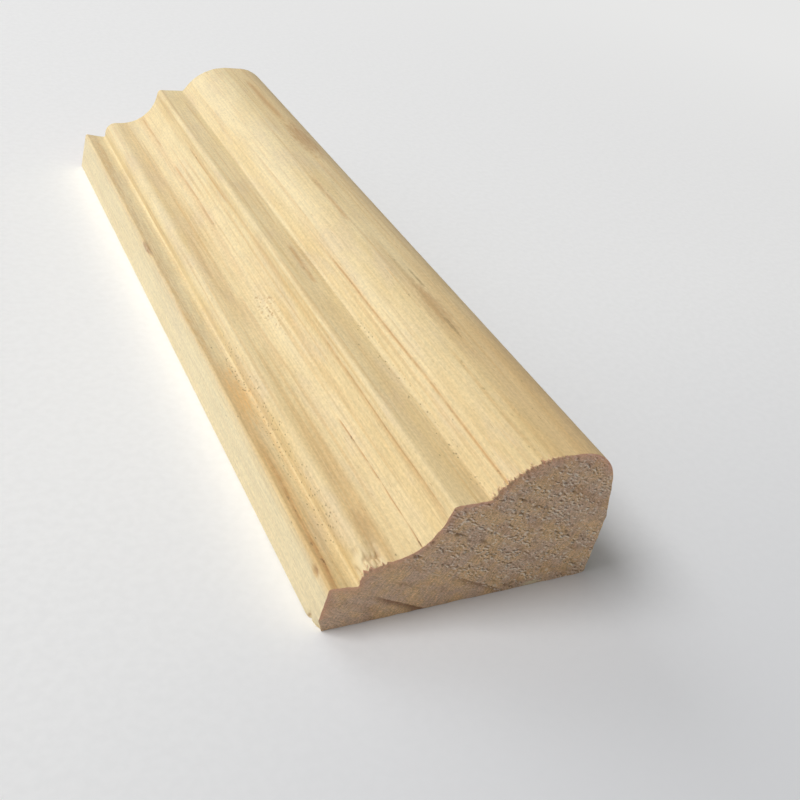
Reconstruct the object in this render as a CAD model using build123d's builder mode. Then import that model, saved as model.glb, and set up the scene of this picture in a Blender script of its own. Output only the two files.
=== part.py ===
"""Short offcut of pine moulding: one machined section, run straight through and sawn square at both ends.

X runs from the thin edge to the thick edge, Y along the grain and Z up from the flat back.
The origin is at the middle of the back.
"""
import os
from math import atan2, degrees, radians, tan

from build123d import *

# Piece as cut, in millimetres
length = 147.0
width = 45.0
thickness = 25.0

# Thin edge: planed a little out of square, so that it leans in towards its top
thin_edge_lean = 0.8

# Quirk: a sunk strip beside the thin edge, with a floor that falls away from the edge
quirk_width = 5.2
quirk_fall = 0.7

# Bead: a quarter round on a short riser, with a narrow flat on top
bead_riser = 1.2
bead_radius = 2.3
bead_flat = 1.0

# Cove: a full quarter circle from the bead's flat up to the fillet
cove_radius = 8.2

# Fillet: the flat step between the cove and the nose, with a softened arris over the cove
fillet_width = 6.0
fillet_arris = 0.8

# Nose: rises in one arc from the fillet to its crown, then turns down a battered outer side
nose_rise = 5.9
crown_setback = 12.4
nose_corner_radius = 7.9
batter_run = 3.2
batter_drop = 13.4
least_crown_flat = 0.3

# Softening of the thin edge and of the two long arrises of the back
arris_radius = 0.4

# Heights above the back, worked down from the crown as the cutter goes into the face
fillet_height = thickness - nose_rise
bead_top = fillet_height - cove_radius
bead_spring = bead_top - bead_radius
quirk_floor = bead_spring - bead_riser
thin_edge_height = quirk_floor + quirk_fall
batter_foot = thickness - batter_drop

# Places across the width, worked in from the thin edge and, for the nose, from the thick edge
thin_side = -width / 2
thick_side = width / 2
thin_edge_top = thin_side + thin_edge_lean
quirk_inner = thin_side + quirk_width
bead_end = quirk_inner + bead_radius
cove_start = bead_end + bead_flat
cove_end = cove_start + cove_radius
fillet_end = cove_end + fillet_width
nose_apex = (thick_side - batter_run, thickness)

# The crown keeps at least a quarter circle from the fillet, so that the nose never hangs over it
crown = (max(thick_side - crown_setback, fillet_end + nose_rise), thickness)

# The nose's corner round is limited by the flat that it starts from
nose_turn = 90 - degrees(atan2(batter_run, batter_drop))
crown_flat = nose_apex[0] - crown[0] - least_crown_flat
nose_round = min(nose_corner_radius, crown_flat / tan(radians(nose_turn / 2)))

# Corners of the section that are rounded, with their radii
rounded_corners = [
    (nose_apex, nose_round),
    ((cove_end, fillet_height), fillet_arris),
    ((thin_edge_top, thin_edge_height), arris_radius),
    ((thin_side, 0), arris_radius),
    ((thick_side, 0), arris_radius),
]

with BuildPart() as pine_moulding:
    with BuildSketch(Plane.XZ) as section:
        with BuildLine():
            Polyline(
                (thin_side, 0),
                (thin_edge_top, thin_edge_height),
                (quirk_inner, quirk_floor),
                (quirk_inner, bead_spring),
            )
            bead = CenterArc((bead_end, bead_spring), bead_radius, 180, -90)
            Line(bead @ 1, (cove_start, bead_top))
            cove = CenterArc((cove_start, fillet_height), cove_radius, -90, 90)
            Line(cove @ 1, (fillet_end, fillet_height))
            TangentArc(crown, (fillet_end, fillet_height), tangent=(-1, 0))
            Polyline(
                crown,
                nose_apex,
                (thick_side, batter_foot),
                (thick_side, 0),
                (thin_side, 0),
            )
        make_face()
        for corner, radius in rounded_corners:
            fillet(section.vertices().sort_by_distance(corner)[0], radius)
    extrude(amount=length / 2, both=True)

os.makedirs("parts", exist_ok=True)
pine_moulding.part.label = "pine_moulding"
export_step(pine_moulding.part, "parts/pine_moulding.step")
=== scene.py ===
"""Looks for the pine moulding: a skin on the CAD section, with growth rings, sawn ends and damage.

Shapes are worked out in millimetres, in the frame of the part, and written to Blender in metres.
The near end is the one towards the camera, at the lowest Y.
"""
import math
import random
from collections import namedtuple

import bmesh
import bpy
import numpy as np
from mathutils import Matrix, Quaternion, Vector
from mathutils.geometry import delaunay_2d_cdt


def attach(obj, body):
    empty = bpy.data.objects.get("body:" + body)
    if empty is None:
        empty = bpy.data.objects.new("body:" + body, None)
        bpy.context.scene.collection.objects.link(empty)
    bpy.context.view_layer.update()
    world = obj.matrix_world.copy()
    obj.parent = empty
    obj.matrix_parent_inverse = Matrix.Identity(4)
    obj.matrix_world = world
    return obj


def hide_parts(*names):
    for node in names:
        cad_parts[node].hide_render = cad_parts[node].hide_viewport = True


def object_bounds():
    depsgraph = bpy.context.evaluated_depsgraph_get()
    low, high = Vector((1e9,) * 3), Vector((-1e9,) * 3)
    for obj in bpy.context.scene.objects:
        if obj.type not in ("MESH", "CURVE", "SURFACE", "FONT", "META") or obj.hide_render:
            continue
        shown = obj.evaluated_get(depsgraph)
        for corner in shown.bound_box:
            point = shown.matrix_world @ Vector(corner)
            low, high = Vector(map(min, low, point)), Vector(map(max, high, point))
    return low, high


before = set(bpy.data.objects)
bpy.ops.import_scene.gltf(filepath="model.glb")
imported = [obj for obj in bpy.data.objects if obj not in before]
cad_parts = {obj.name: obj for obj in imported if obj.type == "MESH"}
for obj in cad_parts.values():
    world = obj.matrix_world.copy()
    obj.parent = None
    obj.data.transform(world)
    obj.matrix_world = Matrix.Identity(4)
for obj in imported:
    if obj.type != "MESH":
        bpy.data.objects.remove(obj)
cad_low, cad_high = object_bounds()

MM = 0.001
NODE = "pine_moulding"
LOW = np.array(cad_low) / MM
HIGH = np.array(cad_high) / MM

# Growth rings: they slope down towards the thick edge, at this angle in the section
RING_SLOPE = math.radians(28.3)
RING_X = math.sin(RING_SLOPE)
RING_Z = math.cos(RING_SLOPE)

# Beside the thin edge the rings turn down: between these places across, by this much
RING_BEND = (-14.0, -21.0)
RING_BEND_RISE = 0.45

# Spacing of the skin's points, in millimetres
FACE_PITCH = 0.36
TORN_PITCH = 0.13
BEAD_PITCH = 0.17
BACK_PITCH = 1.5
NEAR_PITCH = 0.22
FAR_PITCH = 0.4
RUN_PITCH = 1.4
END_ZONE = 9.0

# How the CAD outline is read: when points are one, when a face is the near end, when a run is straight, and
# which turn is a corner, anywhere and between two straight runs
SAME_PLACE = 1e-6
NEAR_END_Y = -0.99
STRAIGHT_RUN = 2.2
CORNER_TURN = math.radians(50)
SLIGHT_TURN = math.radians(3)

# Inner corners of the face: the stretch across that is softened, its fade, above what height, and how often
SOFT_STRETCH = (-19.0, 2.0)
SOFT_FADE = 0.8
SOFT_ABOVE = 5.0
SOFT_PASSES = 7

# Torn rim of the near end: where the nose and the bead lie across, their fade, and where they tear from
NOSE_SIDES = (1.0, 10.5)
NOSE_FADE = 2.0
NOSE_HEIGHTS = (0.74 * HIGH[2], 0.8 * HIGH[2])
BEAD_SIDES = (-17.6, -13.5)
BEAD_FADE = 0.4
BEAD_HEIGHTS = (8.0, 8.6)

# Depth of the teeth on the plain rim, the nose, the bead and the far end
PLAIN_TEAR = 0.08
NOSE_TEAR = 0.75
BEAD_TEAR = 0.7
FAR_TEAR = 0.18

# The sawn ends stand inside the CAD planes, to leave room for the torn fibres: depth of the face, its least
# depth, that of the rim, and the width over which the two meet
SAW_RECESS = 0.3
LEAST_RECESS = 0.03
RIM_INSET = 0.1
RIM_BLEND = 0.9

# Relief of the sawn ends: the saw's marks, the pits, and the spacing of points along and across the rings
SAW_MARKS = 0.05
PIT_DEPTH = 0.3
NEAR_CAP_PITCH = (0.27, 0.17)
FAR_CAP_PITCH = (0.42, 0.3)

# A sawn end turns rough over this stretch across the rings, tilted along them; short of it, pits are faint
ROUGH_STRETCH = (1.0, 5.5)
ROUGH_TILT = 0.08
ROUGH_LEAST = 0.12

# Growth rings where more wood tore out: where each lies, and its half width
TORN_RINGS = [(10.4, 0.45), (5.0, 0.5)]

# Plucked pits: how many in a millimetre round and across the rings, how far off the lit lip of each is,
# where a highlight is painted, and where in the noise the pale crumbs are drawn
PIT_SCALE = (1.25, 3.3)
PIT_LIP = 0.26
CRUMB_SHIFT = (31.0, 17.0, 0.0)

# Painted glow of daylight through the rim of a sawn end: how far the rim faces up, how much less on the
# thick side, how deep
GLOW_TURN = (-0.35, 0.1)
GLOW_SIDE = 0.6
GLOW_REACH = 0.8

# Camera, in millimetres, from the perspective of the photograph; only its near clip is in metres
CAMERA_PLACE = Vector((-71.71, -153.22, 102.84))
CAMERA_AIM = Vector((13.43, -26.22, 0.0))
CAMERA_ROLL = math.radians(13.89)
CAMERA_LENS = 45.55
CAMERA_CLIP = 0.01

# Stage and light, in metres and watts
FLOOR_SIZE = 8.0
FLOOR_DROP = -0.00002
Lamp = namedtuple("Lamp", "name place size power")
LAMPS = [
    Lamp("left_window", (-1.7, 0.5, 2.5), 1.4, 54.0),
    Lamp("back_window", (-0.9, 2.8, 1.55), 2.0, 25.0),
]
BRIGHT_SIDE = (-0.9, 0.05, 0.3)
ROOM_BRIGHT = (0.55, 0.545, 0.535, 1)
ROOM_DARK = (0.034, 0.032, 0.03, 1)
ROOM_TURN = (-0.5, 1.0)
BACKDROP = (0.8, 0.8, 0.795, 1)

# Floor card: its grain in features a metre, its colours, and the stretch in front, in metres, over which it
# turns darker and bluer towards the camera in a painted shadow, with its slant on the left
CARD_GRAIN = 700.0
CARD_DULL = (0.93, 0.935, 0.94, 1)
CARD_WHITE = (0.96, 0.965, 0.97, 1)
CARD_PAINTED_SHADOW = (0.76, 0.772, 0.797, 1)
CARD_SHADOW_STRETCH = (-0.02, 0.14)
CARD_SLANT = 0.8

# Further out than this, in metres, the card is seen as the plain backdrop
CARD_FADE = (0.12, 0.42)

# Wood colours: on the planed face, on the torn fibres and on the sawn ends
EARLY_WOOD = (0.82, 0.682, 0.41, 1)
WARM_WOOD = (0.725, 0.53, 0.24, 1)
# Colour of the painted shade on the near stretch
NEAR_SHADE_WOOD = (0.70, 0.51, 0.24, 1)
LATE_WOOD = (0.625, 0.38, 0.148, 1)
VEIN_WOOD = (0.64, 0.43, 0.195, 1)
LINE_ORANGE = (0.52, 0.27, 0.10, 1)
LINE_BROWN = (0.34, 0.155, 0.06, 1)
SPECK = (0.16, 0.09, 0.04, 1)
TORN_FIBRE = (0.86, 0.71, 0.43, 1)
QUIRK_STAIN = (0.79, 0.52, 0.225, 1)
TAN_MARK = (0.51, 0.315, 0.145, 1)
OLIVE_MARK = (0.30, 0.20, 0.09, 1)
GREY_WOOD = (0.72, 0.572, 0.368, 1)
# Pale colour of the thin edge, also used for painted light in the quirk and on the chip at the near end
PALE_EDGE_AND_PAINTED_LIGHT = (0.795, 0.70, 0.47, 1)
FIBRE_PALE = (0.88, 0.66, 0.42, 1)
# Reddish fibre, partly a painted glow of light through the fibres
FIBRE_RED_AND_GLOW = (0.72, 0.42, 0.26, 1)
END_GREY = (0.66, 0.47, 0.335, 1)
END_TAN = (0.76, 0.52, 0.295, 1)
END_RUST = (0.53, 0.315, 0.185, 1)
END_LATE = (0.30, 0.155, 0.085, 1)
# Painted shade in the pits
END_PIT_SHADE = (0.13, 0.075, 0.045, 1)
# Pale crumbs, and the painted highlight on the lit lip beside each pit
END_CRUMB_AND_HIGHLIGHT = (0.95, 0.84, 0.70, 1)
# Painted glow of daylight through the rim
END_GLOW = (0.88, 0.46, 0.31, 1)

# Late-wood lines: where the ring lies, its fade on each side, the stretch it shows on with its own fade, and
# its strength. The stretch runs along the grain on the face, and along the ring on a sawn end.
GrainLine = namedtuple("GrainLine", "ring soft sharp start end fade strength colour")
LINE_SHAPE = GrainLine._fields[:6]

# A line with a soft side narrower than this is a fine one
FINE_LINE = 0.6

# Stretch and fade of a line that shows all the way
ALL = (-200, 200, 1)

FACE_LINES = [
    GrainLine(-2.3, 1.6, 0.4, -75, 60, 30, 0.42, LATE_WOOD),
    GrainLine(-2.3, 0.3, 0.1, -70, -50, 9, 0.75, LINE_ORANGE),
    # The two lines on ring 3.6 lie in the bottom of the cove and darken that hollow along its length
    GrainLine(3.6, 1.9, 0.8, -75, -52, 18, 0.36, LATE_WOOD),
    GrainLine(3.6, 1.9, 0.8, -5, 75, 20, 0.22, LATE_WOOD),
    GrainLine(4.7, 1.3, 0.15, -26, -9, 6, 0.36, LATE_WOOD),
    GrainLine(6.5, 1.4, 1.0, 4, 75, 12, 0.34, LATE_WOOD),
    GrainLine(6.9, 0.28, 0.1, -73, -46, 2, 0.8, LINE_ORANGE),
    GrainLine(6.9, 0.5, 0.2, 20, 44, 3, 0.5, LINE_ORANGE),
    GrainLine(6.9, 0.4, 0.2, 58, 70, 3, 0.5, LINE_ORANGE),
    GrainLine(12.4, 0.28, 0.12, -70, -32, 4, 0.7, LINE_ORANGE),
    GrainLine(12.4, 1.0, 0.5, -66, 44, 10, 0.3, LATE_WOOD),
    GrainLine(11.9, 0.35, 0.2, 23, 43, 4, 0.6, LINE_ORANGE),
    GrainLine(15.9, 0.4, 0.3, -14, -3, 2, 0.55, LINE_ORANGE),
    GrainLine(20.1, 0.35, 0.2, -75, -15, 8, 0.75, LINE_ORANGE),
    GrainLine(20.1, 0.6, 0.6, -75, -5, 15, 0.3, LATE_WOOD),
    GrainLine(26.7, 1.3, 0.6, -45, -15, 8, 0.2, TAN_MARK),
    GrainLine(27.0, 0.35, 0.25, -34, -20, 5, 0.22, OLIVE_MARK),
    GrainLine(29.5, 3.5, 0.5, -75, -45, 18, 0.46, LATE_WOOD),
    GrainLine(29.5, 3.5, 0.5, -25, 75, 18, 0.3, LATE_WOOD),
    GrainLine(27.2, 2.2, 1.2, -75, -40, 20, 0.22, LATE_WOOD),
    GrainLine(26.3, 0.3, 0.3, -72, -60, 6, 0.3, LATE_WOOD),
    GrainLine(25.6, 0.3, 0.3, -32, -23, 4, 0.4, LATE_WOOD),
    GrainLine(27.9, 0.6, 0.4, 46, 62, 5, 0.5, LINE_ORANGE),
    GrainLine(25.9, 0.5, 0.4, -1, 12, 4, 0.45, LINE_ORANGE),
    GrainLine(28.4, 0.7, 0.3, -75, -30, 25, 0.28, LATE_WOOD),
    GrainLine(25.0, 0.45, 0.3, -75, -50, 8, 0.35, LATE_WOOD),
    GrainLine(15.6, 1.1, 0.7, -60, 40, 20, 0.14, LATE_WOOD),
]
END_LINES = [
    GrainLine(-2.85, 1.1, 0.18, -12, 20, 5, 0.85, END_LATE),
    GrainLine(0.3, 0.35, 0.25, -12, -8.5, 2, 0.3, END_LATE),
    GrainLine(3.65, 1.0, 0.25, -1.5, 20, 5, 0.6, END_LATE),
    GrainLine(10.4, 0.9, 0.3, *ALL, 0.2, END_LATE),
    GrainLine(16.6, 0.9, 0.3, *ALL, 0.15, END_LATE),
    GrainLine(22.9, 0.9, 0.3, *ALL, 0.15, END_LATE),
    GrainLine(23.2, 2.4, 0.9, *ALL, 0.35, END_RUST),
]

# The near stretch is painted darker and warmer, a painted shade: by this share at the first place along, not
# at all past the second
NEAR_SHADE = (-75.0, -5.0)
NEAR_SHADE_SHARE = 0.42

# Rows of plucked specks: the middle and half width across, and the stretch along
SPECK_ROWS = [(-17.6, 1.3, -70, -10), (-0.2, 1.0, -74, -25)]

# Marks on the face: the middle of each, its half sizes, its strength and its colour
Mark = namedtuple("Mark", "middle half_size strength colour")
MARKS = [
    Mark((-21.6, 19.0, 8.0), (0.9, 4.2, 0.9), 0.75, LINE_BROWN),
    Mark((-14.1, -65.5, 10.9), (1.6, 5.5, 1.5), 0.35, TAN_MARK),
    # Painted light: lightens the floor of the quirk along its length, against the shade that falls there
    Mark((-19.8, 14.0, 7.3), (2.6, 90.0, 1.8), 0.5, PALE_EDGE_AND_PAINTED_LIGHT),
    Mark((-19.4, -30.0, 7.4), (2.6, 12.0, 1.8), 0.7, QUIRK_STAIN),
    Mark((-20.2, -50.0, 7.4), (1.6, 22.0, 1.8), 0.4, QUIRK_STAIN),
    Mark((13.6, 33.0, 25.0), (3.2, 12.0, 2.5), 0.7, TAN_MARK),
    Mark((10.4, -34.0, 25.0), (1.8, 11.0, 2.0), 0.5, TAN_MARK),
    Mark((10.2, -39.6, 25.0), (0.42, 4.2, 1.2), 0.6, OLIVE_MARK),
    Mark((11.4, -25.0, 25.0), (0.3, 4.5, 1.2), 0.5, OLIVE_MARK),
    Mark((-22.4, -70.8, 0.5), (0.6, 0.7, 0.7), 0.6, LINE_BROWN),
]

# Chip at the bottom of the near end: pale torn wood with a painted highlight where its top faces the light
END_CHIP_HIGHLIGHT = Mark((12.6, -73.5, 0.35), (2.4, 2.0, 0.5), 0.85, PALE_EDGE_AND_PAINTED_LIGHT)

# Scuffs: a patch of small dark crumbs in the cove
SCUFFS = Mark((-8.9, -12.5, 12.7), (2.4, 8.0, 2.6), 0.8, TAN_MARK)

# The thin edge is paler than the face: by this share past the second place across, not before the first
PALE_SIDE = (-21.65, -21.95)
PALE_SHARE = 0.6

# Loose fibres: where they hang across, above what height, how many, how long, how wide, how far behind the
# rim they start, and how they droop, or stand up below 0
Fringe = namedtuple("Fringe", "sides foot count length width setback droop")
NOSE_FRINGE = ((0.2, 11.5), NOSE_HEIGHTS[0])
BEAD_FRINGE = ((-17.4, -13.0), BEAD_HEIGHTS[0])
FRINGES = [
    Fringe(*NOSE_FRINGE, 150, 1.0, 0.2, 0.2, (0.0, 0.8)),
    Fringe(*NOSE_FRINGE, 60, 1.5, 0.22, 1.0, (-0.55, -0.15)),
    Fringe(*BEAD_FRINGE, 45, 1.2, 0.26, 0.8, (-0.3, 0.6)),
]
FIBRE_SEED = 5

# Faces of one fibre, by its three root points and its tip
SLIVER_FACES = [(0, 1, 3), (1, 2, 3), (2, 0, 3), (0, 2, 1)]

# What the skin keeps for each point: pale torn wood, dark tears, pits, which the end darkens as painted
# shade, and the painted glow of daylight through the rim
LOOKS = ("torn", "tear", "pit", "glow")

# Triangulation mode that keeps only the triangles inside the outline
INSIDE_ONLY = 1

# Table that the noise is read from, and the shift between its layers
NOISE_SIZE = 256
NOISE_SEED = 11
NOISE_TABLE = np.random.default_rng(NOISE_SEED).uniform(-1, 1, (NOISE_SIZE, NOISE_SIZE))
LAYER_SHIFT = (37.3, 61.7)


def noise(u, v, layer):
    """Smooth repeatable noise from -1 to 1, with features one unit across; no two layers are alike."""
    u = np.asarray(u, float) + LAYER_SHIFT[0] * layer
    v = np.asarray(v, float) + LAYER_SHIFT[1] * layer
    column, row = np.floor(u).astype(int), np.floor(v).astype(int)
    du, dv = u - column, v - row
    du = du * du * (3 - 2 * du)
    dv = dv * dv * (3 - 2 * dv)

    def corner(i, j):
        return NOISE_TABLE[(column + i) % NOISE_SIZE, (row + j) % NOISE_SIZE]

    low = corner(0, 0) * (1 - du) + corner(1, 0) * du
    high = corner(0, 1) * (1 - du) + corner(1, 1) * du
    return low * (1 - dv) + high * dv


def step(low, high, value):
    """Smooth rise from 0 at low to 1 at high."""
    t = np.clip((np.asarray(value, float) - low) / (high - low), 0, 1)
    return t * t * (3 - 2 * t)


def window(start, end, soft, value):
    """1 between start and end, falling to 0 over the soft length outside them."""
    return step(start - soft, start, value) * (1 - step(end, end + soft, value))


def section_corners(node):
    """Points of the CAD section in order, from the foot of the thin edge up over the face, as (x, z)."""
    mesh = bmesh.new()
    mesh.from_mesh(node.data)
    bmesh.ops.remove_doubles(mesh, verts=mesh.verts, dist=SAME_PLACE)
    mesh.normal_update()
    beside = {}
    for edge in mesh.edges:
        on_end = [face.normal.y < NEAR_END_Y for face in edge.link_faces]
        if sorted(on_end) == [False, True]:
            first, second = edge.verts
            beside.setdefault(first, []).append(second)
            beside.setdefault(second, []).append(first)
    start = min(beside, key=lambda vert: (round(vert.co.z, 6), vert.co.x))
    before, here = start, max(beside[start], key=lambda vert: vert.co.z)
    loop = [start]
    while here is not start:
        loop.append(here)
        before, here = here, next(vert for vert in beside[here] if vert is not before)
    points = np.array([(vert.co.x, vert.co.z) for vert in loop]) / MM
    mesh.free()
    return points


def end_tangents(points):
    """Directions in which the outline arrives at each point and leaves it; they differ at a corner."""
    ahead = np.roll(points, -1, axis=0) - points
    length = np.linalg.norm(ahead, axis=1)
    leave = ahead / length[:, None]
    arrive, last = np.roll(leave, 1, axis=0), np.roll(length, 1)
    turn = np.arccos(np.clip((arrive * leave).sum(1), -1, 1))
    both_straight = (length > STRAIGHT_RUN) & (last > STRAIGHT_RUN) & (turn > SLIGHT_TURN)
    sharp = (turn > CORNER_TURN) | both_straight
    mean = arrive * length[:, None] + leave * last[:, None]
    mean = np.where((last > STRAIGHT_RUN)[:, None], arrive, mean)
    mean = np.where((length > STRAIGHT_RUN)[:, None], leave, mean)
    mean /= np.linalg.norm(mean, axis=1)[:, None]
    return np.where(sharp[:, None], arrive, mean), np.where(sharp[:, None], leave, mean)


def smooth_outline(corners):
    """The section with its arcs made round again and its points set at the skin's own pitch."""
    arrive, leave = end_tangents(corners)
    crown = corners[np.argmax(corners[:, 1])]
    outline = []
    for i, start in enumerate(corners):
        j = (i + 1) % len(corners)
        end = corners[j]
        length = np.linalg.norm(end - start)
        pitch = FACE_PITCH
        if max(start[1], end[1]) < FACE_PITCH:
            pitch = BACK_PITCH
        elif min(start[1], end[1]) > NOSE_HEIGHTS[0] and start[0] < crown[0]:
            pitch = TORN_PITCH
        elif start[0] > BEAD_SIDES[0] and end[0] < BEAD_SIDES[1]:
            pitch = BEAD_PITCH
        count = max(1, round(length / pitch))
        t = (np.arange(count) / count)[:, None]
        outline.append(
            (2 * t**3 - 3 * t**2 + 1) * start
            + (t**3 - 2 * t**2 + t) * length * leave[i]
            + (3 * t**2 - 2 * t**3) * end
            + (t**3 - t**2) * length * arrive[j]
        )
    return np.clip(soften(np.concatenate(outline)), LOW[[0, 2]], HIGH[[0, 2]])


def soften(outline):
    """Rounds the inner corners of the face a little, as a worn cutter leaves them."""
    x, z = outline.T
    share = window(*SOFT_STRETCH, SOFT_FADE, x) * (z > SOFT_ABOVE)
    for _ in range(SOFT_PASSES):
        mean = (np.roll(outline, 1, axis=0) + 2 * outline + np.roll(outline, -1, axis=0)) / 4
        outline = outline + share[:, None] * (mean - outline)
    return outline


def inward_normals(outline):
    """Unit directions from each outline point into the wood."""
    along = np.roll(outline, -1, axis=0) - np.roll(outline, 1, axis=0)
    inward = np.column_stack([along[:, 1], -along[:, 0]])
    return inward / np.linalg.norm(inward, axis=1)[:, None]


def stations():
    """Places along the length, close together at both ends."""
    middle = np.linspace(LOW[1] + END_ZONE, HIGH[1] - END_ZONE, round((HIGH[1] - LOW[1]) / RUN_PITCH))
    near = np.arange(0, END_ZONE, NEAR_PITCH)
    far = np.arange(0, END_ZONE, FAR_PITCH)
    return np.concatenate([LOW[1] + near, middle, HIGH[1] - far[::-1]])


def arc_lengths(outline):
    """How far along the outline each of its points lies."""
    return np.concatenate([[0], np.cumsum(np.linalg.norm(np.diff(outline, axis=0), axis=1))])


def rim_depths(outline, torn, layer):
    """How far the rim of a sawn end is broken back at each outline point; torn is the depth of its teeth."""
    coarse_depth, coarse_length = 0.07, 1.4
    fine_depth, fine_length = 0.05, 0.4
    spike_length, bite_length = 0.36, 0.9
    arc = arc_lengths(outline)
    coarse = coarse_depth * (1 + noise(arc / coarse_length, 0, layer))
    fine = fine_depth * (1 + noise(arc / fine_length, 1, layer))
    spikes = (1 - np.abs(noise(arc / spike_length, 2, layer))) ** 3
    bites = 0.6 + 0.4 * noise(arc / bite_length, 3, layer)
    return coarse + fine + torn * spikes * bites


def torn_rim(outline):
    """How deep the saw tore the fibres out at the near end: most on the rise of the nose and on the bead."""
    x, z = outline.T
    rise = window(*NOSE_SIDES, NOSE_FADE, x) * step(*NOSE_HEIGHTS, z)
    bead = window(*BEAD_SIDES, BEAD_FADE, x) * step(*BEAD_HEIGHTS, z)
    return PLAIN_TEAR + NOSE_TEAR * rise + BEAD_TEAR * bead


def push_in(points, inward, depth):
    """Moves points of the skin into the wood."""
    points[..., 0] += depth * inward[:, 0]
    points[..., 2] += depth * inward[:, 1]


def corner_chip(points):
    """Breaks off the near foot of the thin edge, with a nick where the break starts."""
    chip_start, chip_height, chip_width = LOW[1] + 4.1, 2.6, 1.15
    nick_place, nick_depth, nick_length = LOW[1] + 2.7, 0.38, 0.25
    ragged_share, ragged_size = 0.14, 0.6
    kept_share, least_cut = 0.05, 0.01
    x, y, z = np.moveaxis(points, -1, 0)
    run = np.clip((chip_start - y) / (chip_start - LOW[1]), 0, 1)
    ragged = 1 + ragged_share * noise(y / ragged_size, z / ragged_size, layer=4)
    width = chip_width * run**1.3 * ragged
    width = width + nick_depth * np.exp(-(((y - nick_place) / nick_length) ** 2))
    limit = LOW[0] + width * np.clip(1 - z / chip_height, 0, 1)
    kept = kept_share * (x - LOW[0]) * (limit > LOW[0] + least_cut)
    points[..., 0] = np.maximum(x, limit + kept)


def arris_tear(points, inward):
    """A small tear on the arris of the thin edge; returns how deep each point went, from 0 to 1."""
    middle, reach, depth = (-22.0, LOW[1] + 4.6, 7.2), (0.6, 0.8, 0.6), 0.4
    gap = ((points - np.array(middle)) / np.array(reach)) ** 2
    share = np.exp(-gap.sum(-1))
    push_in(points, inward, depth * share)
    return share


def torn_bead(points, inward):
    """Crushed and lifted fibres on the bead beside the near end; returns the pale flaps and the cracks."""
    sides, side_fade, reach, heights = (-17.6, -14.2), 0.8, (2.2, 5.5), (8.2, 9.4)
    flap_depth, crack_depth, crack_width = 0.4, 0.3, 0.2
    x, y, z = np.moveaxis(points, -1, 0)
    near = 1 - step(LOW[1] + reach[0], LOW[1] + reach[1], y)
    place = window(*sides, side_fade, x) * near * step(*heights, z)
    flaps = 0.5 + 0.5 * noise(x / 0.6, y / 2.0, layer=5)
    cracks = np.exp(-((noise(x / 0.55, y / 2.4, layer=6) / crack_width) ** 2))
    push_in(points, inward, place * (flap_depth * flaps + crack_depth * cracks))
    return place * step(0.2, 0.6, 1 - flaps), place * cracks


def worn_arrises(points, inward, outline):
    """Small dents that handling left on the outer arrises."""
    dent_depth, dent_length, dent_width = 0.14, 2.6, 1.5
    ahead = np.roll(inward, -2, axis=0)
    behind = np.roll(inward, 2, axis=0)
    turn = behind[:, 0] * ahead[:, 1] - behind[:, 1] * ahead[:, 0]
    sharpness = step(0.25, 0.8, np.abs(turn)) * (turn < 0)
    arc = arc_lengths(outline)
    dents = step(0.45, 0.9, noise(points[..., 1] / dent_length, arc[None, :] / dent_width, layer=7))
    push_in(points, inward, dent_depth * dents * sharpness[None, :])


def side_skin(outline):
    """Points of the long sides as an array (station, outline point, xyz), with their pale and dark tears."""
    inward = inward_normals(outline)
    along = stations()
    points = np.empty((len(along), len(outline), 3))
    points[..., 0] = outline[:, 0]
    points[..., 2] = outline[:, 1]
    near = rim_depths(outline, torn_rim(outline), layer=1) + RIM_INSET
    far = rim_depths(outline, FAR_TEAR, layer=2) + RIM_INSET
    near_share = np.clip(1 - (along - LOW[1]) / END_ZONE, 0, 1) ** 2
    far_share = np.clip(1 - (HIGH[1] - along) / END_ZONE, 0, 1) ** 2
    points[..., 1] = along[:, None] + near_share[:, None] * near - far_share[:, None] * far
    worn_arrises(points, inward, outline)
    flaps, cracks = torn_bead(points, inward)
    tear = arris_tear(points, inward)
    corner_chip(points)
    crack_share = 0.45
    return points, flaps, np.maximum(tear, crack_share * cracks)


def ring_place(x, z):
    """Section coordinates along and across the growth rings."""
    return RING_Z * x - RING_X * z, RING_X * x + RING_Z * z


def cap_grid(rim, pitch_along, pitch_across):
    """Points inside an end, in rows that follow the growth rings, clear of its rim."""
    corners = np.array([ring_place(x, z) for x in (LOW[0], HIGH[0]) for z in (LOW[2], HIGH[2])])
    along = np.arange(corners[:, 0].min(), corners[:, 0].max(), pitch_along)
    across = np.arange(corners[:, 1].min(), corners[:, 1].max(), pitch_across)
    along, across = np.meshgrid(along, across)
    along = along + 0.5 * pitch_along * (np.arange(len(across)) % 2)[:, None]
    x = RING_Z * along + RING_X * across
    z = RING_Z * across - RING_X * along
    points = np.column_stack([x.ravel(), z.ravel()])
    inside = np.zeros(len(points), bool)
    for (x0, z0), (x1, z1) in zip(rim, np.roll(rim, -1, axis=0)):
        if z0 != z1:
            crosses = (z0 > points[:, 1]) != (z1 > points[:, 1])
            inside ^= crosses & (points[:, 0] < x0 + (points[:, 1] - z0) / (z1 - z0) * (x1 - x0))
    points = points[inside]
    gap, _ = rim_gap(points, rim)
    clear = 0.55 * pitch_across
    return points[gap > clear]


def rim_gap(points, rim):
    """Distance from each point to the rim, and the rim point that is nearest."""
    gap = np.full(len(points), np.inf)
    nearest = np.zeros(len(points), int)
    for i, place in enumerate(rim):
        here = np.hypot(points[:, 0] - place[0], points[:, 1] - place[1])
        closer = here < gap
        gap[closer] = here[closer]
        nearest[closer] = i
    return gap, nearest


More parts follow.
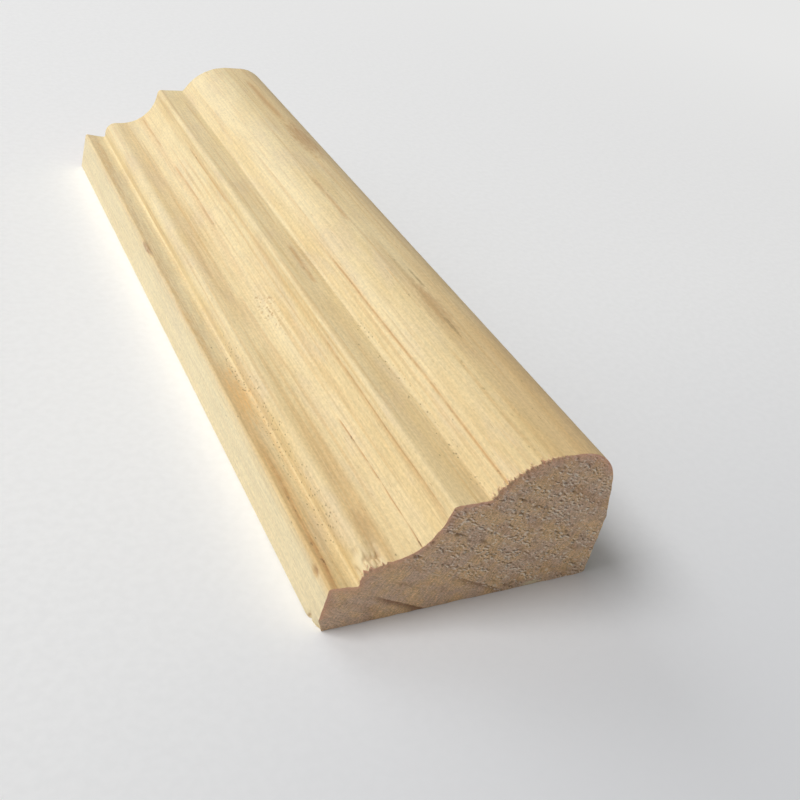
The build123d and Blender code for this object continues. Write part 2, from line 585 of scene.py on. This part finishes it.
def torn_pits(points, layer):
    """Torn-out spots of a sawn end, from 0 to 1, in short rows along the growth rings."""
    along, across = ring_place(points[:, 0], points[:, 1])
    rough = step(*ROUGH_STRETCH, across + ROUGH_TILT * along)
    rows = 0.5 + 0.5 * noise(along / 9.0, across / 1.1, layer)
    spots = noise(along / 0.95, across / 0.24, layer + 1)
    fine = noise(along / 0.5, across / 0.18, layer + 2)
    torn_rings = sum(np.exp(-(((across - ring) / width) ** 2)) for ring, width in TORN_RINGS)
    reach = 0.5 + 0.34 * (1 - rows) - 0.2 * torn_rings
    pits = step(reach, reach + 0.3, spots) + 0.5 * step(0.66, 0.9, fine)
    return np.clip(pits, 0, 1) * (ROUGH_LEAST + (1 - ROUGH_LEAST) * rough)


def cap_skin(rim, rim_depth, pitch_along, pitch_across, layer):
    """Points, depths, triangles and looks of a sawn end; the rim points come first."""
    inner = cap_grid(rim, pitch_along, pitch_across)
    gap, nearest = rim_gap(inner, rim)
    pits = torn_pits(inner, layer)
    along, across = ring_place(inner[:, 0], inner[:, 1])
    saw = SAW_MARKS * noise(inner[:, 0] / 0.8, inner[:, 1] / 0.8, layer + 3)
    saw += SAW_MARKS * noise(along / 0.5, across / 0.22, layer + 4)
    depth = SAW_RECESS + saw + PIT_DEPTH * pits
    share = step(0, RIM_BLEND, gap)
    depth = np.maximum(LEAST_RECESS, rim_depth[nearest] * (1 - share) + depth * share)
    every = np.concatenate([rim, inner])
    count = len(rim)
    flat = [Vector(point) for point in every]
    faces = delaunay_2d_cdt(flat, [], [list(range(count))], INSIDE_ONLY, SAME_PLACE)[2]
    outward = -inward_normals(rim)
    # Painted glow, strongest where the rim faces up to the light, fading inwards
    lit = step(*GLOW_TURN, outward[:, 1] - GLOW_SIDE * np.clip(outward[:, 0], 0, 1))
    glow = np.concatenate([lit, lit[nearest] * np.exp(-gap / GLOW_REACH)])
    depths = np.concatenate([rim_depth, depth])
    return every, depths, faces, np.concatenate([np.zeros(count), pits]), glow


def add_cap(parts, rim_start, rim, rim_y, outward, pitch, layer):
    """Adds a sawn end to the growing mesh, joined to the rim points that the sides already have."""
    end_plane = LOW[1] if outward < 0 else HIGH[1]
    rim_depth = (rim_y - end_plane) * -outward
    every, depths, faces, pits, glow = cap_skin(rim, rim_depth, *pitch, layer)
    count = len(rim)
    base = len(parts["points"])
    inner = np.column_stack([every[count:, 0], end_plane - outward * depths[count:], every[count:, 1]])
    parts["points"] = np.concatenate([parts["points"], inner])
    for name, values in (("pit", pits), ("glow", glow)):
        parts[name][rim_start : rim_start + count] = values[:count]
        parts[name] = np.concatenate([parts[name], values[count:]])
    for name in ("torn", "tear"):
        parts[name] = np.concatenate([parts[name], np.zeros(len(inner))])

    def index(i):
        return rim_start + i if i < count else base + i - count

    for face in faces:
        corners = [index(i) for i in face]
        a, b, c = (parts["points"][i] for i in corners[:3])
        if np.cross(b - a, c - a)[1] * outward < 0:
            corners.reverse()
        parts["faces"].append(corners)
        parts["material"].append(1)


def moulding_skin(outline):
    """The whole skin of the moulding as one closed mesh, with what each point looks like."""
    points, torn, tear = side_skin(outline)
    flat = points.reshape(-1, 3)
    count = len(outline)
    last_row = len(flat) - count
    faces = []
    for here in range(0, last_row, count):
        for i in range(count):
            j = (i + 1) % count
            faces.append([here + i, here + j, here + count + j, here + count + i])
    parts = {
        "points": flat,
        "faces": faces,
        "material": [0] * len(faces),
        "torn": torn.ravel(),
        "tear": tear.ravel(),
        "pit": np.zeros(len(flat)),
        "glow": np.zeros(len(flat)),
    }
    near_rim, far_rim = points[0], points[-1]
    add_cap(parts, 0, near_rim[:, [0, 2]], near_rim[:, 1], -1, NEAR_CAP_PITCH, layer=20)
    add_cap(parts, last_row, far_rim[:, [0, 2]], far_rim[:, 1], 1, FAR_CAP_PITCH, layer=40)
    parts["near_rim"] = near_rim
    return parts


def unwrap(mesh, parts, outline):
    """Lays the sides out flat beside the two ends, for the bake."""
    count = len(outline)
    arc = arc_lengths(outline)
    perimeter = arc[-1] + np.linalg.norm(outline[0] - outline[-1])
    margin = 2.0
    size = HIGH - LOW
    sheet = perimeter + size[0] + 3 * margin
    layer = mesh.uv_layers.new(name="OFBake")
    for polygon in mesh.polygons:
        seam = polygon.material_index == 0 and {v % count for v in polygon.vertices} == {0, count - 1}
        for loop in polygon.loop_indices:
            vertex = mesh.loops[loop].vertex_index
            x, y, z = parts["points"][vertex] - LOW
            if polygon.material_index == 0:
                i = vertex % count
                u, v = (perimeter if seam and i == 0 else arc[i]) + margin, y + margin
            else:
                top = margin if polygon.normal.y < 0 else size[2] + 3 * margin
                u, v = perimeter + 2 * margin + x, top + z
            layer.data[loop].uv = (u / sheet, v / sheet)


def sliver(root, tip, width, rng):
    """A thin pointed fibre as a closed pyramid on three points round its root."""
    spin = rng.uniform(0, 2 * math.pi)
    ring = []
    for turn in range(3):
        angle = spin + turn * 2 * math.pi / 3
        ring.append(root + 0.5 * width * np.array([math.cos(angle), 0.0, math.sin(angle)]))
    return [*ring, tip]


def torn_fibres(rim, inward):
    """Loose fibres that hang over the near end, along the torn rise of the nose and at the bead."""
    root_depth, sway, clearance = 0.12, 0.25, 0.02
    rng = random.Random(FIBRE_SEED)
    x, z = rim[:, 0], rim[:, 2]
    points, faces = [], []
    for fringe in FRINGES:
        low, high = fringe.sides
        places = np.flatnonzero((x > low) & (x < high) & (z > fringe.foot)).tolist()
        for _ in range(fringe.count):
            i = rng.choice(places)
            into = np.array([inward[i, 0], 0, inward[i, 1]])
            root = rim[i] + into * rng.uniform(0.0, root_depth)
            root[1] += rng.uniform(0.0, fringe.setback)
            length = fringe.length * rng.uniform(0.4, 1.0)
            aim = into * rng.uniform(*fringe.droop) * length
            tip = root + aim + np.array([rng.uniform(-sway, sway), -length, 0])
            tip = np.clip(tip, LOW + clearance, HIGH - clearance)
            base = len(points)
            points += sliver(root, tip, fringe.width * rng.uniform(0.5, 1.0), rng)
            faces += [[base + corner for corner in face] for face in SLIVER_FACES]
    points = np.clip(np.array(points), LOW, HIGH)
    return {"points": points, "faces": faces, "material": [0] * len(faces)}


def in_scene(name, data):
    """A new object in the scene."""
    thing = bpy.data.objects.new(name, data)
    bpy.context.scene.collection.objects.link(thing)
    return thing


def write_mesh(name, parts, materials):
    """A Blender object from points in millimetres, faces, and the looks kept as attributes."""
    mesh = bpy.data.meshes.new(name)
    mesh.from_pydata(parts["points"] * MM, [], parts["faces"])
    mesh.polygons.foreach_set("material_index", parts["material"])
    for look in LOOKS:
        if look in parts:
            layer = mesh.attributes.new(look, "FLOAT", "POINT")
            layer.data.foreach_set("value", np.ascontiguousarray(parts[look], np.float32))
    for material in materials:
        mesh.materials.append(material)
    mesh.shade_smooth()
    mesh.update()
    return in_scene(name, mesh)


def sharpen_rims(mesh):
    """Keeps the edge between the planed sides and the sawn ends crisp."""
    work = bmesh.new()
    work.from_mesh(mesh)
    for edge in work.edges:
        if len({face.material_index for face in edge.link_faces}) > 1:
            edge.smooth = False
    work.to_mesh(mesh)
    work.free()


class Shader:
    """Adds nodes to one tree and links them; a plain number or a socket may be given as an input."""

    def __init__(self, tree):
        self.tree = tree

    def add(self, kind, inputs=None, **settings):
        node = self.tree.nodes.new(kind)
        for name, value in settings.items():
            setattr(node, name, value)
        for key, value in (inputs or {}).items():
            self.plug(node.inputs[key], value)
        return node

    def plug(self, socket, value):
        if isinstance(value, bpy.types.NodeSocket):
            self.tree.links.new(value, socket)
        else:
            socket.default_value = value

    def math(self, operation, first, second=0.0, third=0.0):
        inputs = {0: first, 1: second, 2: third}
        return self.add("ShaderNodeMath", inputs, operation=operation).outputs[0]

    def times(self, first, second):
        return self.math("MULTIPLY", first, second)

    def plus(self, first, second):
        return self.math("ADD", first, second)

    def vector(self, operation, first, second=(0.0, 0.0, 0.0), output="Vector"):
        inputs = {0: first, 1: second}
        return self.add("ShaderNodeVectorMath", inputs, operation=operation).outputs[output]

    def split(self, vector):
        return self.add("ShaderNodeSeparateXYZ", {0: vector}).outputs

    def ramp(self, value, low, high, to_low=0.0, to_high=1.0):
        """Smooth change from one value at low to another at high."""
        inputs = {0: value, 1: low, 2: high, 3: to_low, 4: to_high}
        return self.add("ShaderNodeMapRange", inputs, interpolation_type="SMOOTHSTEP").outputs[0]

    def above(self, value, limit, soft):
        """0 where the value is below the limit, 1 where it is above by the soft amount."""
        return self.ramp(self.math("SUBTRACT", value, limit), 0.0, soft)

    def centred(self, value, width):
        """A value from 0 to 1 spread over the given width, with its middle at 0."""
        return self.math("MULTIPLY_ADD", value, width, -width / 2)

    def mix(self, factor, first, second, blend="MIX"):
        node = self.add("ShaderNodeMix", data_type="RGBA", blend_type=blend)
        self.plug(node.inputs[0], factor)
        self.plug(node.inputs[6], first)
        self.plug(node.inputs[7], second)
        return node.outputs[2]

    def tint(self, colour, mask, share, other):
        """Lays another colour over a colour, by a share of the mask."""
        return self.mix(self.times(mask, share), colour, other)

    def shade(self, colour, first, second):
        """Makes a colour lighter or darker by the product of two numbers."""
        amount = self.times(first, second)
        tone = self.add("ShaderNodeCombineColor", {0: amount, 1: amount, 2: amount}).outputs[0]
        return self.mix(1.0, colour, tone, "MULTIPLY")

    def noise(self, vector, scale, detail, rough):
        stretched = self.vector("MULTIPLY", vector, scale)
        inputs = {"Vector": stretched, "Scale": 1.0, "Detail": detail, "Roughness": rough}
        return self.add("ShaderNodeTexNoise", inputs).outputs["Fac"]

    def grained(self, place, across, along, detail=2.0, rough=0.55):
        """Noise with this many features in a unit across the grain and along it."""
        return self.noise(place, (across, along, across), detail, rough)

    def ringed(self, place, around, across, detail=2.0, rough=0.55):
        """Noise with this many features in a unit round the rings and across them."""
        return self.noise(place, (around, across, 1.0), detail, rough)

    def cells(self, place, across, along):
        """Scattered cells, this many in a unit across the grain and along it."""
        stretched = self.vector("MULTIPLY", place, (across, along, across))
        inputs = {"Vector": stretched, "Scale": 1.0}
        return self.add("ShaderNodeTexVoronoi", inputs).outputs

    def attribute(self, name):
        return self.add("ShaderNodeAttribute", attribute_name=name).outputs["Fac"]


def group_tree(name, inputs, outputs):
    """An empty node group with the given sockets, its shader helper and its two end nodes."""
    tree = bpy.data.node_groups.new(name, "ShaderNodeTree")
    for way, sockets in (("INPUT", inputs), ("OUTPUT", outputs)):
        for socket, kind in sockets:
            tree.interface.new_socket(socket, in_out=way, socket_type=kind)
    shader = Shader(tree)
    return shader, tree.nodes.new("NodeGroupInput"), tree.nodes.new("NodeGroupOutput")


def grain_space():
    """Group with each point's place in millimetres: along the grain, across the rings and round them."""
    outputs = [(name, "NodeSocketFloat") for name in ("Along", "Across", "Round")]
    shader, _, out = group_tree("grain_space", [], [("Place", "NodeSocketVector"), *outputs])
    coordinates = shader.add("ShaderNodeTexCoord").outputs["Object"]
    place = shader.vector("MULTIPLY", coordinates, (1 / MM, 1 / MM, 1 / MM))
    x, y, z = shader.split(place)
    wander = shader.centred(shader.grained(place, across=0.09, along=0.018, detail=1.0), 1.2)
    tremble = shader.centred(shader.grained(place, across=0.5, along=0.09), 0.36)
    across = shader.math("MULTIPLY_ADD", x, RING_X, shader.plus(wander, tremble))
    across = shader.math("MULTIPLY_ADD", z, RING_Z, across)
    across = shader.plus(across, shader.ramp(x, *RING_BEND, 0.0, RING_BEND_RISE))
    around = shader.plus(shader.times(x, RING_Z), shader.times(z, -RING_X))
    for name, value in (("Place", place), ("Along", y), ("Across", across), ("Round", around)):
        shader.plug(out.inputs[name], value)
    return shader.tree


def grain_line():
    """Group for one late-wood line: soft on its older side, sharp on its younger side, with two ends."""
    sockets = [(name, "NodeSocketFloat") for name in ("Across", "Along", *LINE_SHAPE)]
    shader, source, out = group_tree("grain_line", sockets, [("Mask", "NodeSocketFloat")])
    given = source.outputs
    off = shader.math("SUBTRACT", given["Across"], given["ring"])
    rise = shader.ramp(off, shader.times(given["soft"], -1.0), 0.0)
    fall = shader.ramp(off, 0.0, given["sharp"], 1.0, 0.0)
    before = shader.math("SUBTRACT", given["start"], given["fade"])
    after = shader.plus(given["end"], given["fade"])
    head = shader.ramp(given["Along"], before, given["start"])
    tail = shader.ramp(given["Along"], given["end"], after, 1.0, 0.0)
    mask = shader.times(shader.times(rise, fall), shader.times(head, tail))
    shader.plug(out.inputs["Mask"], mask)
    return shader.tree


def stain():
    """Group for one soft mark: 1 at its middle, 0 outside its half sizes, with a ragged border."""
    sockets = [(name, "NodeSocketVector") for name in ("Place", "Middle", "Half size")]
    shader, source, out = group_tree("stain", sockets, [("Mask", "NodeSocketFloat")])
    given = source.outputs
    off = shader.vector("SUBTRACT", given["Place"], given["Middle"])
    off = shader.vector("DIVIDE", off, given["Half size"])
    reach = shader.vector("LENGTH", off, output="Value")
    ragged = shader.grained(given["Place"], across=1.6, along=0.5, detail=3.0, rough=0.6)
    reach = shader.plus(reach, shader.centred(ragged, 1.4))
    shader.plug(out.inputs["Mask"], shader.ramp(reach, 0.25, 1.0, 1.0, 0.0))
    return shader.tree


def new_material(name):
    """A node material with its shader helper and its surface node."""
    material = bpy.data.materials.new(name)
    material.use_nodes = True
    shader = Shader(material.node_tree)
    return material, shader, material.node_tree.nodes["Principled BSDF"]


def dress(shader, surface, colour, rough, height, strength, depth, shine):
    """Gives a surface its colour, its roughness, a relief as deep as this in millimetres, and its shine."""
    relief = {"Strength": strength, "Distance": depth * MM, "Height": height}
    looks = {
        "Base Color": colour,
        "Roughness": rough,
        "Normal": shader.add("ShaderNodeBump", relief).outputs[0],
        "Specular IOR Level": shine,
    }
    for name, value in looks.items():
        shader.plug(surface.inputs[name], value)


def line_mask(shader, grain, line, stretch):
    """How strongly one late-wood line shows; stretch names the way in which its ends are measured."""
    inputs = {"Across": grain["Across"], "Along": grain[stretch]}
    inputs.update((name, getattr(line, name)) for name in LINE_SHAPE)
    mask = shader.add("ShaderNodeGroup", inputs, node_tree=GRAIN_LINE).outputs["Mask"]
    return shader.times(mask, line.strength)


def mark_mask(shader, place, mark):
    """How strongly one soft mark shows at each point."""
    inputs = {"Place": place, "Middle": mark.middle, "Half size": mark.half_size}
    mask = shader.add("ShaderNodeGroup", inputs, node_tree=STAIN).outputs["Mask"]
    return shader.times(mask, mark.strength)


def scuffs(shader, place):
    """Crumbled soft scuffs, in one patch."""
    crumbs = shader.grained(place, across=2.2, along=1.3, rough=0.6)
    return shader.times(shader.ramp(crumbs, 0.54, 0.66), mark_mask(shader, place, SCUFFS))


def plain_wood(shader, grain):
    """Wood between the late-wood lines: warmer in streaks, darker near by in a painted shade, grey in
    patches, veined.
    """
    place = grain["Place"]
    streak = shader.grained(place, across=0.42, along=0.012)
    blotch = shader.grained(place, across=0.12, along=0.05)
    patch = shader.grained(place, across=0.25, along=0.07, detail=3.0)
    vein = shader.grained(place, across=1.15, along=0.022, rough=0.6)
    warm = shader.plus(shader.ramp(streak, 0.38, 0.72, 0.0, 0.4), shader.ramp(blotch, 0.4, 0.7, 0.0, 0.25))
    # Painted shade: the wood turns darker and warmer towards the near end
    near_shade = shader.ramp(grain["Along"], *NEAR_SHADE, NEAR_SHADE_SHARE, 0.0)
    colour = shader.mix(warm, EARLY_WOOD, WARM_WOOD)
    colour = shader.mix(near_shade, colour, NEAR_SHADE_WOOD)
    colour = shader.mix(shader.ramp(patch, 0.5, 0.7, 0.0, 0.5), colour, GREY_WOOD)
    return shader.mix(shader.ramp(vein, 0.48, 0.72, 0.0, 0.46), colour, VEIN_WOOD)


def face_lines(shader, grain, colour):
    """Late-wood lines over the plain wood; the fine ones are broken up and carry dots of resin."""
    place = grain["Place"]
    gaps = shader.grained(place, across=0.9, along=0.22)
    broken = shader.ramp(gaps, 0.3, 0.55, 0.35, 1.0)
    dots = shader.grained(place, across=1.0, along=0.55, detail=3.0, rough=0.7)
    resin = shader.ramp(dots, 0.58, 0.68)
    for line in FACE_LINES:
        mask = line_mask(shader, grain, line, "Along")
        if line.soft < FINE_LINE:
            mask = shader.times(mask, broken)
            colour = shader.mix(mask, colour, line.colour)
            colour = shader.mix(shader.times(mask, resin), colour, SPECK)
        else:
            colour = shader.mix(mask, colour, line.colour)
    return colour


def face_marks(shader, place, fibre, colour):
    """The paler thin edge, the stains and a painted light in the quirk, which are streaked along the fibres,
    and the scuffs.
    """
    sideways = shader.split(place)[0]
    colour = shader.mix(shader.ramp(sideways, *PALE_SIDE, 0.0, PALE_SHARE), colour, PALE_EDGE_AND_PAINTED_LIGHT)
    streaky = shader.ramp(fibre, 0.32, 0.62, 0.55, 1.35)
    for mark in MARKS:
        mask = shader.times(mark_mask(shader, place, mark), streaky)
        colour = shader.mix(mask, colour, mark.colour)
    return shader.mix(scuffs(shader, place), colour, SCUFFS.colour)


def lone_specks(shader, place):
    """A few small dark specks, anywhere on the face."""
    cells = shader.cells(place, across=0.42, along=0.2)
    draw = shader.add("ShaderNodeSeparateColor", {0: cells["Color"]}).outputs[0]
    picked = shader.ramp(draw, 0.7, 0.72)
    return shader.times(shader.ramp(cells["Distance"], 0.03, 0.06, 1.0, 0.0), picked)


def speck_rows(shader, place):
    """Fine dark dots where the cutter plucked the wood: up the wall of the quirk, and under the nose."""
    row_fade = 8
    x, y, _ = shader.split(place)
    rows = 0.0
    for middle, half_width, low, high in SPECK_ROWS:
        off = shader.math("ABSOLUTE", shader.math("SUBTRACT", x, middle))
        row = shader.ramp(off, 0.5 * half_width, half_width, 1.0, 0.0)
        row = shader.times(row, shader.ramp(y, low, low + row_fade))
        row = shader.times(row, shader.ramp(y, high - row_fade, high, 1.0, 0.0))
        rows = shader.math("MAXIMUM", rows, row)
    cells = shader.cells(place, across=1.6, along=1.1)
    dots = shader.ramp(cells["Distance"], 0.12, 0.27, 1.0, 0.0)
    return shader.times(dots, rows)


def face_material():
    """Bare planed pine: pale early wood, warm late wood, fine fibres, resin specks, a few stains, and
    painted light and shade.
    """
    material, shader, surface = new_material("pine_face")
    grain = shader.add("ShaderNodeGroup", node_tree=GRAIN_SPACE).outputs
    place = grain["Place"]
    fibre = shader.grained(place, across=3.4, along=0.12, detail=3.0, rough=0.65)
    mottle = shader.grained(place, across=2.4, along=1.4, detail=3.0, rough=0.7)
    dash = shader.ramp(shader.grained(place, across=5.5, along=0.5, detail=1.0), 0.7, 0.78)

    colour = face_lines(shader, grain, plain_wood(shader, grain))
    colour = face_marks(shader, place, fibre, colour)
    fibre_tone = shader.ramp(fibre, 0.25, 0.75, 0.91, 1.07)
    mottle_tone = shader.ramp(mottle, 0.3, 0.7, 0.925, 1.075)
    colour = shader.shade(colour, fibre_tone, mottle_tone)
    colour = shader.tint(colour, lone_specks(shader, place), 0.5, SPECK)
    colour = shader.tint(colour, speck_rows(shader, place), 0.55, SPECK)
    colour = shader.tint(colour, dash, 0.35, LINE_BROWN)
    colour = shader.tint(colour, shader.attribute("torn"), 0.6, TORN_FIBRE)
    colour = shader.tint(colour, shader.attribute("tear"), 0.8, LINE_BROWN)

    rough = shader.ramp(fibre, 0.2, 0.8, 0.5, 0.66)
    relief = shader.plus(shader.times(fibre, 0.5), shader.times(dash, -0.4))
    dress(shader, surface, colour, rough, relief, strength=0.25, depth=0.1, shine=0.3)
    return material


def plucked_pits(shader, ringed, rough):
    """Pits that the saw plucked out of the end grain, for painted shade, and beside each a painted
    highlight, as two masks.
    """
    density = shader.ringed(ringed, around=0.12, across=0.75, detail=1.0)
    reach = shader.ramp(density, 0.35, 0.65, 0.68, 0.54)
    beside = shader.vector("ADD", ringed, (0.0, PIT_LIP, 0.0))
    masks = []
    for place in (ringed, beside):
        spots = shader.ringed(place, *PIT_SCALE, detail=1.0)
        masks.append(shader.times(shader.above(spots, reach, 0.07), rough))
    return masks


def pale_crumbs(shader, ringed, rough):
    """Crumbs of pale fibre on the rough part of a sawn end, in clusters."""
    elsewhere = shader.vector("ADD", ringed, CRUMB_SHIFT)
    crumbs = shader.ringed(elsewhere, around=1.2, across=2.4)
    cluster = shader.ramp(shader.ringed(ringed, around=0.3, across=0.6, detail=1.0), 0.4, 0.6)
    return shader.times(shader.above(crumbs, 0.55, 0.1), shader.times(rough, cluster))


def end_material():
    """Sawn end grain: greyer and darker than the face, with late-wood rings, rays, torn-out pits, and
    painted light and shade.
    """
    material, shader, surface = new_material("pine_end")
    grain = shader.add("ShaderNodeGroup", node_tree=GRAIN_SPACE).outputs
    place, across, around = grain["Place"], grain["Across"], grain["Round"]
    ringed = shader.add("ShaderNodeCombineXYZ", {0: around, 1: across}).outputs[0]
    rays = shader.ringed(ringed, around=4.5, across=0.5, rough=0.6)
    pores = shader.ringed(ringed, around=2.6, across=5.0, detail=3.0, rough=0.75)

    mottle = shader.grained(place, across=0.35, along=0.35, detail=3.0, rough=0.6)
    colour = shader.mix(shader.ramp(mottle, 0.36, 0.64), END_GREY, END_TAN)
    rust = shader.ringed(ringed, around=0.2, across=0.5)
    colour = shader.mix(shader.ramp(rust, 0.5, 0.72, 0.0, 0.5), colour, END_RUST)
    for line in END_LINES:
        colour = shader.mix(line_mask(shader, grain, line, "Round"), colour, line.colour)
    ray_tone = shader.ramp(rays, 0.25, 0.75, 0.84, 1.16)
    pore_tone = shader.ramp(pores, 0.3, 0.7, 0.74, 1.26)
    colour = shader.shade(colour, ray_tone, pore_tone)

    tilted = shader.plus(across, shader.times(around, ROUGH_TILT))
    rough = shader.ramp(tilted, *ROUGH_STRETCH, ROUGH_LEAST, 1.0)
    pits, lip_highlights = plucked_pits(shader, ringed, rough)
    colour = shader.tint(colour, pale_crumbs(shader, ringed, rough), 0.7, END_CRUMB_AND_HIGHLIGHT)
    # Painted highlight on the lit lip beside each pit
    colour = shader.tint(colour, lip_highlights, 0.8, END_CRUMB_AND_HIGHLIGHT)
    # Painted shade in the pits, the fine ones and those cut into the mesh
    colour = shader.tint(colour, pits, 0.62, END_PIT_SHADE)
    colour = shader.tint(colour, shader.attribute("pit"), 0.45, END_PIT_SHADE)
    # Painted glow of daylight through the lit rim
    colour = shader.tint(colour, shader.attribute("glow"), 0.75, END_GLOW)
    # Painted highlight on the pale chip at the bottom of the near end
    colour = shader.mix(mark_mask(shader, place, END_CHIP_HIGHLIGHT), colour, END_CHIP_HIGHLIGHT.colour)

    matt = shader.ramp(pores, 0.2, 0.8, 0.72, 0.9)
    relief = shader.math("SUBTRACT", pores, pits)
    dress(shader, surface, colour, matt, relief, strength=0.32, depth=0.15, shine=0.2)
    return material


def fibre_material():
    """Loose torn fibres: pale and reddish wood, the red partly a painted glow of light through them, matt.
    """
    material, shader, surface = new_material("pine_fibre")
    place = shader.add("ShaderNodeGroup", node_tree=GRAIN_SPACE).outputs["Place"]
    patch = shader.grained(place, across=1.8, along=0.6)
    # The reddish tone stands partly for a painted glow of light through the fibres
    colour = shader.mix(shader.ramp(patch, 0.25, 0.5), FIBRE_RED_AND_GLOW, FIBRE_PALE)
    rough = shader.ramp(patch, 0.3, 0.7, 0.6, 0.8)
    dress(shader, surface, colour, rough, patch, strength=0.2, depth=0.05, shine=0.5)
    return material


def floor_material():
    """White card with a faint fibre and a painted shadow towards the camera, fading into the backdrop far
    from the moulding.
    """
    material, shader, surface = new_material("card")
    coordinates = shader.add("ShaderNodeTexCoord").outputs["Object"]
    fibre = shader.grained(coordinates, across=CARD_GRAIN, along=CARD_GRAIN, detail=3.0)
    colour = shader.mix(shader.ramp(fibre, 0.3, 0.7), CARD_DULL, CARD_WHITE)
    x, y, _ = shader.split(coordinates)
    left = shader.math("MINIMUM", x, 0.0)
    front = shader.math("SUBTRACT", shader.times(left, CARD_SLANT), y)
    # Painted shadow: the card turns darker and bluer towards the camera, for the shade that falls there
    colour = shader.mix(shader.ramp(front, *CARD_SHADOW_STRETCH), colour, CARD_PAINTED_SHADOW)
    dress(shader, surface, colour, 0.9, fibre, strength=0.1, depth=0.05, shine=0.1)

    distance = shader.vector("LENGTH", coordinates, output="Value")
    seen = shader.add("ShaderNodeLightPath").outputs["Is Camera Ray"]
    backdrop = shader.add("ShaderNodeEmission", {"Color": BACKDROP}).outputs[0]
    far = shader.times(shader.ramp(distance, *CARD_FADE), seen)
    blend = shader.add("ShaderNodeMixShader", {0: far, 1: surface.outputs[0], 2: backdrop}).outputs[0]
    shader.plug(material.node_tree.nodes["Material Output"].inputs["Surface"], blend)
    return material


def make_floor():
    """Pale card under the moulding, wide enough to fill the picture."""
    mesh = bpy.data.meshes.new("floor")
    half = FLOOR_SIZE / 2
    corners = [(-half, -half, 0), (half, -half, 0), (half, half, 0), (-half, half, 0)]
    mesh.from_pydata(corners, [], [(0, 1, 2, 3)])
    mesh.materials.append(floor_material())
    floor = in_scene("floor", mesh)
    floor.location.z = FLOOR_DROP


def area_light(lamp):
    """A soft square light that faces the moulding."""
    light = bpy.data.lights.new(lamp.name, "AREA")
    light.size = lamp.size
    light.energy = lamp.power
    thing = in_scene(lamp.name, light)
    thing.location = lamp.place
    thing.rotation_euler = (-Vector(lamp.place)).to_track_quat("-Z", "Y").to_euler()


def make_lights():
    """Daylight from the thin side and behind, in a darker room that is seen as a plain pale backdrop."""
    for lamp in LAMPS:
        area_light(lamp)
    world = bpy.data.worlds.new("room")
    bpy.context.scene.world = world
    world.use_nodes = True
    shader = Shader(world.node_tree)
    direction = shader.add("ShaderNodeTexCoord").outputs["Generated"]
    side = shader.vector("DOT_PRODUCT", direction, BRIGHT_SIDE, output="Value")
    light = shader.mix(shader.ramp(side, *ROOM_TURN), ROOM_DARK, ROOM_BRIGHT)
    ray = shader.add("ShaderNodeLightPath").outputs
    seen = shader.math("MAXIMUM", ray["Is Camera Ray"], ray["Is Glossy Ray"])
    seen = shader.math("MAXIMUM", seen, ray["Is Transmission Ray"])
    shader.plug(world.node_tree.nodes["Background"].inputs["Color"], shader.mix(seen, light, BACKDROP))


def make_camera():
    """Camera at the photograph's angle, with its roll."""
    data = bpy.data.cameras.new("camera")
    data.lens = CAMERA_LENS
    data.clip_start = CAMERA_CLIP
    camera = in_scene("camera", data)
    camera.location = CAMERA_PLACE * MM
    look = (CAMERA_AIM - CAMERA_PLACE).to_track_quat("-Z", "Y")
    camera.rotation_mode = "QUATERNION"
    camera.rotation_quaternion = look @ Quaternion((0, 0, 1), CAMERA_ROLL)
    bpy.context.scene.camera = camera


def make_moulding():
    """The visible moulding, in place of the CAD node."""
    outline = smooth_outline(section_corners(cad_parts[NODE]))
    parts = moulding_skin(outline)
    piece = write_mesh("moulding", parts, [face_material(), end_material()])
    sharpen_rims(piece.data)
    unwrap(piece.data, parts, outline)
    loose = torn_fibres(parts["near_rim"], inward_normals(outline))
    fibres = write_mesh("torn_fibres", loose, [fibre_material()])
    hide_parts(NODE)
    for thing in (piece, fibres):
        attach(thing, "root")


GRAIN_SPACE = grain_space()
GRAIN_LINE = grain_line()
STAIN = stain()
make_moulding()
make_floor()
make_lights()
make_camera()
bpy.context.scene.view_settings.view_transform = "Standard"
